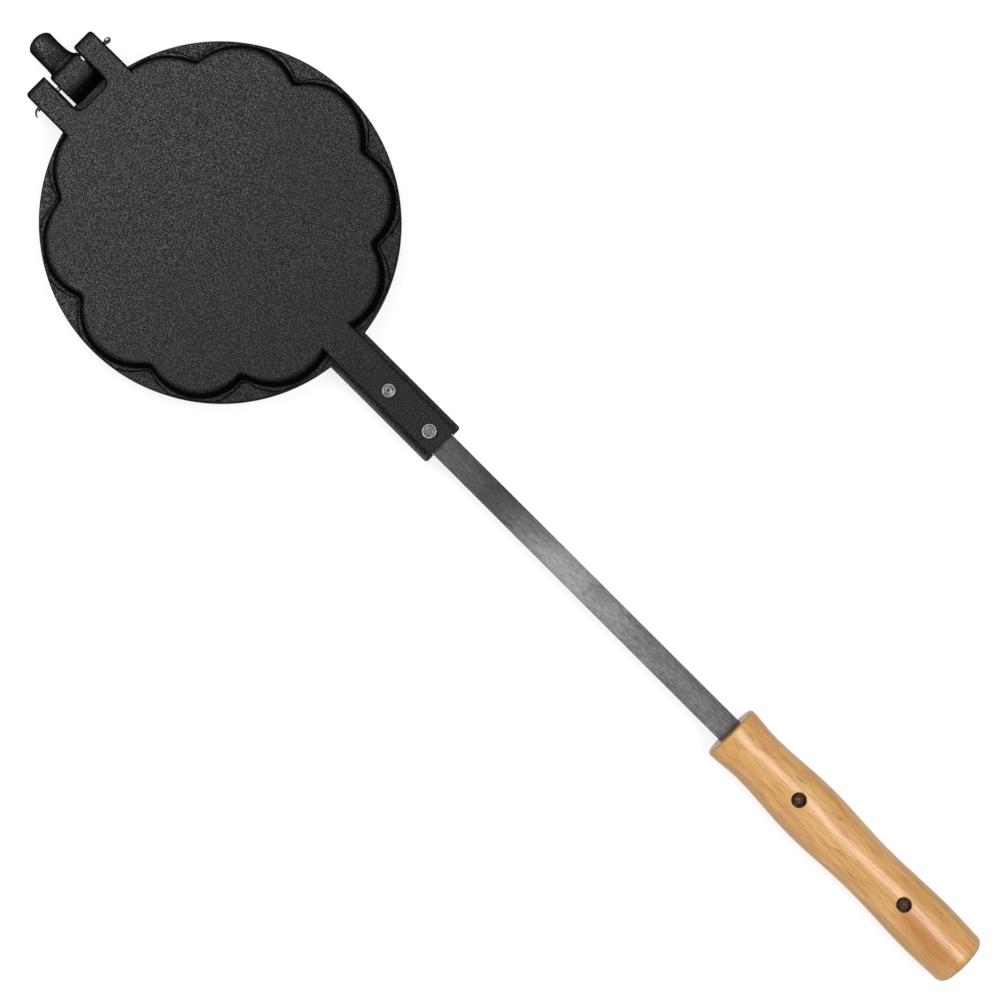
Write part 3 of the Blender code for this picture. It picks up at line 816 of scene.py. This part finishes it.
def grip_section(x, inset):
    """Half width and crown height of the D-shaped section at x."""
    half_width = grip_half_width((x - grip_start_x) / (grip_end_x - grip_start_x))
    return half_width - inset, grip_rise * half_width / (grip_width / 2) - inset


def grip_surface(x, y):
    half_width, crown = grip_section(x, 0)
    low = half_gap + grip_edge
    return low + (crown - low) * sqrt(1 - (y / half_width) ** 2)


def grip_ring(x, narrowed):
    half_width, crown = grip_section(x, narrowed)
    low = half_gap
    edge = [(half_width - inset, low + rise) for inset, rise in rounding(grip_edge, 4)]
    arc = []
    for step in range(1, grip_arc_steps):
        turn = pi * step / grip_arc_steps
        height = low + grip_edge + (crown - low - grip_edge) * sin(turn)
        arc.append((half_width * cos(turn), height))
    other_edge = [(-y, z) for y, z in reversed(edge)]
    return [Vector((x, y, z)) for y, z in edge + arc + other_edge]


def bore_rings(x):
    """A rivet's stepped hole, whose mouth follows the round surface and is eased there."""
    shank = shank_radius + shank_clearance
    rings = circle_rings(
        ((shank, -overrun), (shank, counterbore_floor), (counterbore_radius, counterbore_floor)),
    )
    mouth = [(rise, -inset) for inset, rise in rounding(counterbore_lip, 5)]
    for spread, sink in (*mouth, (counterbore_lip * counterbore_lip_over, overrun)):
        ring = circle_rings([(counterbore_radius + spread, 0)])[0]
        for point in ring:
            point.z = grip_surface(x + point.x, point.y) + sink
        rings.append(ring)
    return shifted(rings, x)


def make_grip(name):
    rings = [grip_ring(grip_start_x + rise, inset) for inset, rise in rounding(grip_front_round, 6)]
    first, last = grip_start_x + grip_front_round, grip_end_x - grip_end_round
    for step in range(1, grip_body_steps):
        rings.append(grip_ring(first + (last - first) * step / grip_body_steps, 0))
    rings += [grip_ring(grip_end_x - inset, rise) for inset, rise in rounding(grip_end_round, 9)]
    half = bar_width / 2 + seat_gap
    start_x, end_x = grip_start_x - overrun, bar_end_x + seat_gap
    outline = ((start_x, -half), (end_x, -half), (end_x, half), (start_x, half))
    return carved(
        lofted(name, [rings]),
        lofted("slot", [[raised(outline, z) for z in (-overrun, bar_outer + seat_gap)]]),
        lofted("rivet holes", [bore_rings(x) for x in grip_rivet_places]),
    )


def pin_leg(side, straight, bend, full_turn):
    """Points of one leg, each with its flat side's outward direction and its share of the radius."""
    leg = []
    for step in range(pin_leg_steps + 1):
        turn = full_turn * step / pin_leg_steps
        x = side * pin_split / 2 + bend * (1 - cos(turn))
        y = ear_sides[0] - seat_gap - straight - bend * sin(turn)
        outward = Vector((cos(turn), sin(turn), 0)) * side
        leg.append((Vector((x, y, 0)), outward, 1 - (1 - pin_tip_share) * step / pin_leg_steps))
    return leg


def pin_path():
    face = ear_sides[1]
    centre = Vector((0, face + seat_gap + pin_radius + pin_eye_inside, 0))
    tilt = Matrix.Rotation(pin_eye_tilt, 3, "Y")
    eye = []
    for step in range(pin_eye_steps + 1):
        turn = pin_eye_sweep * (1 / 2 - step / pin_eye_steps)
        outward = tilt @ Vector((-sin(turn), cos(turn), 0))
        eye.append((centre + outward * pin_eye_inside, outward, 1))
    left, right = ((Vector((side * pin_split / 2, face, 0)), Vector((side, 0, 0)), 1) for side in (-1, 1))
    return [*reversed(pin_leg(-1, *pin_long_leg)), left, *eye, right, *pin_leg(1, *pin_short_leg)]


def make_split_pin(name):
    path = pin_path()
    rings = []
    for place, (point, outward, share) in enumerate(path):
        before = path[max(place - 1, 0)][0]
        after = path[min(place + 1, len(path) - 1)][0]
        along = (after - before).normalized()
        out = (outward - along * outward.dot(along)).normalized()
        across = along.cross(out)
        ring = []
        for step in range(pin_section_steps + 1):
            turn = pi * step / pin_section_steps
            ring.append(point + (across * cos(turn) + out * sin(turn)) * pin_radius * share)
        rings.append(ring)
    return lofted(name, [rings])


# Materials

class Nodes:
    """A node tree; most methods add one node and return its output."""

    def __init__(self, tree):
        self.tree = tree

    def put(self, socket, value):
        if isinstance(value, bpy.types.NodeSocket):
            self.tree.links.new(value, socket)
        elif isinstance(value, tuple) and len(value) == 3 and socket.type == "RGBA":
            socket.default_value = (*value, 1)
        else:
            socket.default_value = value

    def add(self, kind, inputs, **settings):
        """Add a node, change its settings, and set or link its inputs."""
        node = self.tree.nodes.new("ShaderNode" + kind)
        for name, value in settings.items():
            setattr(node, name, value)
        for name, value in inputs.items():
            self.put(node.inputs[name], value)
        return node

    def math(self, operation, first, second=0.0, clamp=False):
        return self.add("Math", {0: first, 1: second}, operation=operation, use_clamp=clamp).outputs[0]

    def times(self, first, second):
        return self.math("MULTIPLY", first, second)

    def plus(self, first, second):
        return self.math("ADD", first, second)

    def larger(self, first, second):
        return self.math("MAXIMUM", first, second)

    def away(self, value, centre=None):
        """How far a value is from the centre, or else from 0."""
        return self.math("ABSOLUTE", value if centre is None else self.math("SUBTRACT", value, centre))

    def squared(self, value, centre, scale):
        """The square of a value's distance from the centre, times the scale."""
        scaled = self.times(self.math("SUBTRACT", value, centre), scale)
        return self.times(scaled, scaled)

    def rest(self, value):
        """1 less a value, but not below 0."""
        return self.math("SUBTRACT", 1, value, clamp=True)

    def along(self, axis, source=None):
        return self.add("SeparateXYZ", {0: source or self.place}).outputs[axis]

    def rescale(self, value, low, high, new_low=0.0, new_high=1.0, smooth=False):
        inputs = {"Value": value, "From Min": low, "From Max": high, "To Min": new_low, "To Max": new_high}
        kind = "SMOOTHSTEP" if smooth else "LINEAR"
        return self.add("MapRange", inputs, interpolation_type=kind).outputs[0]

    def background_share(self, strength):
        """A strength for the rays that show the background, and none for the light that falls on things."""
        path = self.add("LightPath", {}).outputs
        seen = self.larger(path["Is Camera Ray"], path["Is Glossy Ray"])
        return self.times(self.larger(seen, path["Is Transmission Ray"]), strength)


class Recipe(Nodes):
    """A material's nodes, around its Principled shader."""

    def __init__(self, name):
        self.material = bpy.data.materials.new(name)
        self.material.use_nodes = True
        super().__init__(self.material.node_tree)
        self.shader = self.tree.nodes["Principled BSDF"]
        coordinates = self.add("TexCoord", {}).outputs
        self.place = coordinates["Object"]
        self.facing = coordinates["Normal"]

    def noise(self, scale, detail, roughness, turn=0):
        """Noise of one scale, or of three scales along axes turned about z."""
        vector = self.place
        if isinstance(scale, tuple):
            inputs = {"Vector": vector, "Scale": scale, "Rotation": (0, 0, turn)}
            vector, scale = self.add("Mapping", inputs).outputs[0], 1
        inputs = {"Vector": vector, "Scale": scale, "Detail": detail, "Roughness": roughness}
        return self.add("TexNoise", inputs).outputs["Fac"]

    def cells(self, scale, smoothness):
        inputs = {"Vector": self.place, "Scale": scale, "Smoothness": smoothness}
        return self.add("TexVoronoi", inputs, feature="SMOOTH_F1").outputs["Distance"]

    def openness(self, distance):
        """1 in the open and falling towards 0 in corners, by this piece's own shape alone."""
        node = self.add("AmbientOcclusion", {"Distance": distance}, only_local=True, samples=12)
        return node.outputs["AO"]

    def steps(self, value, stops):
        """Colours between (place, colour) stops; a plain number stands for a grey."""
        node = self.add("ValToRGB", {0: value})
        elements = node.color_ramp.elements
        while len(elements) < len(stops):
            elements.new(0.5)
        for element, (place, colour) in zip(elements, stops):
            element.position = place
            element.color = (*(colour if isinstance(colour, tuple) else (colour,) * 3), 1)
        return node.outputs[0]

    def mix(self, share, first, second, blend_type="MIX"):
        inputs = {0: share, 6: first, 7: second}
        return self.add("Mix", inputs, data_type="RGBA", blend_type=blend_type).outputs[2]

    def shaded(self, colour, share):
        return self.mix(1.0, colour, share, "MULTIPLY")

    def zoned(self, zones, blue=1):
        """A tone for each place along the iron, from (x in mm, tone) zones."""
        start, end = zones[0][0], zones[-1][0]
        stops = [((x - start) / (end - start), (tone, tone, tone * blue)) for x, tone in zones]
        return self.steps(self.rescale(self.along("X"), start * mm, end * mm), stops)

    def bump(self, height, distance, strength):
        return self.add("Bump", {"Height": height, "Distance": distance, "Strength": strength}).outputs[0]

    def finish(self, colour, roughness, normal, **constants):
        inputs = {"Base Color": colour, "Roughness": roughness, "Normal": normal, **constants}
        for name, value in inputs.items():
            self.put(self.shader.inputs[name.replace("_", " ")], value)
        return self.material


def cast_iron():
    """Seasoned sand-cast iron: a pebbled skin, with painted shade in corners and on steep sides."""
    r = Recipe("seasoned cast iron")
    along = r.along("X")
    pebbles = r.cells(1100, 0.3)
    grit = r.noise(2800, 2, 0.6)
    lumps = r.noise(1400, 1, 0.5)
    blotches = r.noise(26, 4, 0.6)
    height = r.plus(r.plus(r.times(pebbles, -0.8), r.times(grit, 0.3)), r.times(lumps, 1.5))
    tone = r.steps(r.rescale(lumps, 0.32, 0.7), (
        (0, (0.0062, 0.0063, 0.0064)), (0.5, (0.0275, 0.0278, 0.0283)), (1, (0.105, 0.1055, 0.106)),
    ))
    tone = r.mix(r.rescale(blotches, 0.42, 0.62, 0, 0.25), tone, (0.03, 0.0295, 0.029))
    tone = r.mix(r.rescale(along, -0.02, 0.11, 0, 0.4), tone, (0.03, 0.0302, 0.0306))
    # Painted highlight specks on the rest peg's tip
    tone = r.mix(tip_highlight_specks(r, lumps), tone, (0.3, 0.3, 0.3))
    # Painted highlight on the strip's outer edges
    tone = r.mix(strip_edge_highlight(r), tone, (0.13, 0.13, 0.13))
    # Painted light: the iron is lighter towards the hinge and darker towards the bar
    tone = r.shaded(tone, r.rescale(along, -0.12, 0.12, 1.45, 0.79))
    # flat is 1 where nothing is shaded; as the painted shade takes it towards 0, the colour goes to
    # near-black
    flat = r.times(painted_slope_shade(r), hinge_shading(r))
    colour = r.mix(flat, (0.0024, 0.0024, 0.0025), tone)
    roughness = r.larger(r.rescale(lumps, 0.3, 0.7, 0.56, 0.44), r.rescale(flat, 0, 0.8, 1, 0.4))
    return r.finish(colour, roughness, r.bump(height, 0.35 * mm, 0.8), Specular_IOR_Level=0.005)


def tip_highlight_specks(r, lumps):
    """Painted highlight: bright specks on the rest peg's tip."""
    distance = r.plus(r.squared(r.along("X"), -0.1385, 260), r.squared(r.along("Y"), -0.0012, 400))
    return r.times(r.rest(distance), r.rescale(lumps, 0.5, 0.62, 0, 0.45))


def strip_edge_highlight(r):
    """Painted highlight on the strip's outer rounded edges, strongest on the -Y side."""
    outer = r.rescale(r.away(r.along("Y")), 11.2 * mm, 12.4 * mm)
    side = r.rescale(r.along("Y"), -2 * mm, 2 * mm, 0.62, 0.06)
    return r.times(r.times(outer, side), r.rescale(r.along("X"), 0.101, 0.108))


def painted_slope_shade(r):
    """Painted shade: 1 on the flats, less on shoulders and rounded edges, near 0 on steep sides and in
    corners.
    """
    level = r.away(r.along("Z", r.facing))
    along = r.along("X")
    out = r.away(along)
    facing_x = r.along("X", r.facing)
    # Painted light: near the hinge and on the socket, sides turned towards +X are shaded less than those
    # turned towards -X
    slant = r.larger(r.times(facing_x, 0.8), r.times(facing_x, -0.3))
    share = r.plus(level, r.times(slant, r.rescale(out, 0.093, 0.1)))
    hard = r.math("POWER", r.rescale(share, 0.62, 1), 3.7)
    soft = r.plus(r.rescale(share, 0.48, 0.93, 0, 0.46), r.rescale(share, 0.93, 1, 0, 0.54))
    at_hinge = r.rescale(r.away(along, -0.108), 0.0165, 0.0195, 1, 0)
    flat = r.mix(at_hinge, soft, hard)
    # Painted shade in corners and recesses, from the piece's own openness
    flat = r.times(flat, r.rescale(r.openness(5 * mm), 0.14, 0.4, 0.02, 1))
    flat = r.times(flat, r.larger(r.rescale(r.openness(1.6 * mm), 0.6, 0.9), r.rescale(out, 0.092, 0.096)))
    # Past x = 108 mm the painted shade never goes below 0.46, and upright sides never go below 0.7
    flat = r.larger(flat, r.rescale(along, 0.102, 0.108, 0, 0.46))
    return r.larger(flat, r.rescale(level, 0.04, 0.14, 0.7, 0))


def hinge_shading(r):
    """Painted shade over the hinge's middle, lifted on the lip; at least 1 outside the knuckle's sides."""
    return r.larger(r.zoned(hinge_shading_zones), r.rescale(r.away(r.along("Y")), 10.95 * mm, 11.9 * mm))


def brushed_steel():
    """Cold-drawn flat bar, lined and mottled lengthwise, with a painted shadow near the casting and painted
    reflections along it.
    """
    r = Recipe("mottled flat bar steel")
    lines = r.noise((30, 2200, 2200), 3, 0.65)
    mottles = r.noise((260, 1000, 1000), 3, 0.6)
    clouds = r.noise((55, 120, 120), 3, 0.6)
    colour = r.zoned(bar_reflection_and_shadow_zones, 1.01)
    for value, low, high in ((lines, 0.78, 1.22), (mottles, 0.7, 1.3), (clouds, 0.86, 1.14)):
        colour = r.shaded(colour, r.steps(r.rescale(value, 0.32, 0.68), ((0, low), (1, high))))
    # Painted shade: darker towards the +Y edge
    colour = r.shaded(colour, r.rescale(r.along("Y"), 0, bar_width / 2, 1, 0.7, smooth=True))
    bump = r.bump(r.plus(lines, r.times(mottles, 0.8)), 0.05 * mm, 0.5)
    return r.finish(colour, r.rescale(mottles, 0.3, 0.7, 0.5, 0.34), bump, Metallic=0.92)


def rivet_steel():
    """Plated steel, hammered and scuffed."""
    r = Recipe("bright rivet steel")
    scuffs = r.noise(900, 4, 0.7)
    colour = r.steps(r.rescale(scuffs, 0.32, 0.68), ((0, (0.035, 0.035, 0.036)), (1, (0.215, 0.215, 0.213))))
    # Painted highlight on the crowns' tops and painted shade below them, with its own strength for each
    # rivet along x
    high = r.rescale(r.away(r.along("Z"), half_height), 11.72 * mm, 12.02 * mm)
    painted_shade_share = r.rescale(r.along("X"), 0.14, 0.155, 0.62, 0.8)
    painted_highlight_share = r.rescale(r.along("X"), 0.14, 0.155, 1.12, 1.9)
    colour = r.shaded(colour, r.mix(high, painted_shade_share, painted_highlight_share))
    # Painted shade in the heads' own hollows, from their openness
    colour = r.shaded(colour, r.rescale(r.openness(0.7 * mm), 0.55, 0.9, 0.25, 1))
    bump = r.bump(r.plus(scuffs, r.times(r.cells(700, 0.6), 0.5)), 0.12 * mm, 0.45)
    return r.finish(colour, r.rescale(scuffs, 0.3, 0.7, 0.42, 0.26), bump, Metallic=1.0)


def pin_steel():
    """Drawn plated wire, greyed by smoke, with faint marks."""
    r = Recipe("plated pin wire")
    scuffs = r.noise(1200, 3, 0.6)
    colour = r.steps(r.rescale(scuffs, 0.3, 0.7), ((0, (0.11, 0.11, 0.112)), (1, (0.46, 0.46, 0.45))))
    # Painted shade: the wire goes darker where its surface turns sideways
    level = r.away(r.along("Z", r.facing))
    colour = r.mix(r.rescale(level, 0.3, 0.95), (0.03, 0.03, 0.031), colour)
    colour = r.mix(r.rescale(r.along("Y"), -27 * mm, -25.5 * mm), (0.035, 0.035, 0.036), colour)
    bump = r.bump(scuffs, 0.05 * mm, 0.4)
    return r.finish(colour, r.rescale(scuffs, 0.3, 0.7, 0.5, 0.32), bump, Metallic=1.0)


def dull_steel():
    """Rivets and washers at the bottom of the grips' holes, brown with varnish and smoke."""
    r = Recipe("dull brown steel")
    grime = r.noise(800, 4, 0.7)
    colour = r.steps(r.rescale(grime, 0.35, 0.68), (
        (0, (0.018, 0.0075, 0.0033)), (0.6, (0.05, 0.024, 0.011)), (1, (0.145, 0.088, 0.048)),
    ))
    bump = r.bump(grime, 0.15 * mm, 0.5)
    return r.finish(colour, r.rescale(grime, 0.3, 0.7, 0.6, 0.38), bump, Metallic=0.75)


def varnished_wood():
    """Golden varnished wood: long soft bands, fine dark pores and an orange patch near the end."""
    r = Recipe("varnished wood")
    tilt = radians(2.2)
    bands = r.noise((7, 170, 170), 3, 0.55, tilt)
    clouds = r.noise((22, 60, 60), 3, 0.55, tilt)
    fibres = r.noise((42, 850, 850), 4, 0.7, tilt)
    pores = r.noise((70, 1250, 1250), 1, 0.4, tilt)
    colour = r.steps(r.rescale(bands, 0.33, 0.67), (
        (0, (0.5, 0.24, 0.062)), (0.45, (0.58, 0.31, 0.098)), (1, (0.64, 0.37, 0.14)),
    ))
    colour = r.mix(r.rescale(clouds, 0.45, 0.68, 0, 0.55), colour, (0.5, 0.23, 0.052))
    shades = r.steps(r.rescale(fibres, 0.3, 0.7), ((0, (0.74, 0.69, 0.6)), (1, (1.18, 1.19, 1.2))))
    colour = r.shaded(colour, shades)
    dark = r.rescale(pores, 0.6, 0.72, 0, 0.58)
    colour = r.mix(dark, colour, (0.2, 0.085, 0.025))
    patch_along = r.rest(r.squared(r.along("X"), 0.5535, 40))
    patch_across = r.rest(r.squared(r.along("Y"), -0.0045, 118))
    patch = r.times(r.times(patch_along, patch_across), r.rescale(clouds, 0.36, 0.6, 0.45, 0.75))
    colour = r.mix(patch, colour, (0.38, 0.13, 0.022))
    # Darker on the end faces: end grain, and painted shade on their unlit side
    end = r.rescale(r.away(r.along("X", r.facing)), 0.55, 0.95, 0, 0.75)
    colour = r.mix(end, colour, (0.3, 0.135, 0.045))
    height = r.math("SUBTRACT", r.times(fibres, 0.5), dark)
    return r.finish(
        colour, r.rescale(fibres, 0.3, 0.7, 0.4, 0.54), r.bump(height, 0.1 * mm, 0.6),
        Specular_IOR_Level=0.35, Coat_Weight=0.5, Coat_Roughness=0.18, Coat_IOR=1.5,
    )


def bore_wood():
    """The bare end grain inside the grips' holes, darkened further as painted shade in the recess."""
    r = Recipe("darkened bore wood")
    fibres = r.noise(700, 4, 0.7)
    colour = r.steps(r.rescale(fibres, 0.3, 0.7), ((0, (0.02, 0.008, 0.0035)), (1, (0.085, 0.034, 0.012))))
    return r.finish(colour, 0.6, r.bump(fibres, 0.15 * mm, 0.5))


materials = {
    "cast_iron": cast_iron(),
    "bar_steel": brushed_steel(),
    "rivet_steel": rivet_steel(),
    "pin_steel": pin_steel(),
    "dull_steel": dull_steel(),
    "wood": varnished_wood(),
}
bore = bore_wood()


# Putting the iron together

def fit(item, side, slot, node, x=0.0, turned_over=None):
    """Set a piece, modelled in half coordinates, on its half and in place of its node."""
    shade(item)
    over = side == "lower" if turned_over is None else turned_over
    move = Matrix.Translation((0, 0, half_height))
    if over:
        move = move @ Matrix.Rotation(pi, 4, "X")
    item.data.transform(move @ Matrix.Translation((x, 0, 0)))
    item.data.materials.clear()
    item.data.materials.append(materials[slot])
    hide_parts(node)
    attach(item, side + "_half")


def darken_bores(grip):
    """Give the faces inside the counterbores their own darker finish: bare grain with painted shade."""
    grip.data.materials.append(bore)
    for face in grip.data.polygons:
        for x in grip_rivet_places:
            aside = Vector((face.center.x - x, face.center.y))
            if aside.length < counterbore_radius + 0.05 * mm and abs(face.normal.z) < 0.3:
                face.material_index = 1


lower_hinge = [make_hinge_lip(), make_lip_tongue(), make_knuckle(), make_web_foot(), make_peg()]
castings = {
    "upper": make_casting("upper_casting", [make_ears()], [make_notch_cut()]),
    "lower": make_casting("lower_casting", lower_hinge, []),
}
for side in ("upper", "lower"):
    fit(castings[side], side, "cast_iron", side + "_plate")
    fit(make_bar(side + "_flat_bar"), side, "bar_steel", side + "_bar")
    grip = make_grip(side + "_grip_wood")
    fit(grip, side, "wood", side + "_grip")
    darken_bores(grip)
    for place, x in zip(("plate_end", "grip_end"), socket_rivet_places):
        node = f"{side}_socket_rivet_{place}"
        fit(make_socket_rivet(node + "_head", place), side, "rivet_steel", node, x)
    for place, x in zip(("front", "rear"), grip_rivet_places):
        node = f"{side}_grip_rivet_{place}"
        fit(make_grip_rivet(node + "_head"), side, "dull_steel", node, x)
        node = f"{side}_grip_washer_{place}"
        fit(make_washer(node + "_ring"), side, "dull_steel", node, x)
fit(make_split_pin("split_pin_wire"), "lower", "pin_steel", "hinge_split_pin", hinge_x, turned_over=False)


# Floor, light and camera

def make_floor():
    reach = 6
    drop = 0.2 * mm
    corners = ((-reach, -reach), (reach, -reach), (reach, reach), (-reach, reach))
    bm = bmesh.new()
    bm.faces.new([bm.verts.new((x, y, -drop)) for x, y in corners])
    floor = new_object("floor", bm)
    material = bpy.data.materials.new("pale floor")
    material.use_nodes = True
    material.node_tree.nodes.clear()
    n = Nodes(material.node_tree)
    lit = n.add("BsdfDiffuse", {"Color": (0.3, 0.3, 0.3)})
    white = n.add("Emission", {"Strength": n.background_share(0.76)})
    both = n.add("AddShader", {0: lit.outputs[0], 1: white.outputs[0]})
    n.add("OutputMaterial", {"Surface": both.outputs[0]})
    floor.data.materials.append(material)


def make_world():
    """White to look at; as light it is bright overhead and dim at the horizon."""
    world = bpy.data.worlds.new("studio")
    bpy.context.scene.world = world
    world.use_nodes = True
    n = Nodes(world.node_tree)
    direction = n.add("TexCoord", {}).outputs["Generated"]
    sky = n.rescale(n.along("Z", direction), 0.15, 0.95, 0.04, 0.75, smooth=True)
    shown = n.add("Mix", {0: n.background_share(1), 2: sky, 3: 1}).outputs[0]
    background = world.node_tree.nodes["Background"]
    n.put(background.inputs["Strength"], shown)
    n.put(background.inputs["Color"], (1, 1, 1))


def make_lamp(name, place, size, power, aim):
    data = bpy.data.lights.new(name, "AREA")
    data.shape = "RECTANGLE"
    data.size, data.size_y = size
    data.energy = power
    lamp = bpy.data.objects.new(name, data)
    bpy.context.collection.objects.link(lamp)
    lamp.location = place
    lamp.rotation_euler = (Vector(aim) - Vector(place)).to_track_quat("-Z", "Y").to_euler()


def make_camera():
    data = bpy.data.cameras.new("camera")
    data.sensor_width = 36
    data.lens = 100.5
    camera = bpy.data.objects.new("camera", data)
    bpy.context.collection.objects.link(camera)
    camera.location = (0.2177, 0.00072, 1.5625)
    camera.rotation_euler = (0, 0, pi / 4 - 0.00101)
    bpy.context.scene.camera = camera


make_floor()
make_world()
make_lamp("over the grip", (0.78, 0.38, 1.55), (1.0, 0.5), 13, (0.45, 0, 0))
make_lamp("over the hinge", (-0.55, 0.08, 1.35), (0.6, 0.8), 8, (-0.05, 0, 0))
make_lamp("low fill", (0.2, -1.5, 0.5), (1.2, 0.6), 5, (0.2, 0, 0))
make_camera()
bpy.context.scene.view_settings.view_transform = "Standard"
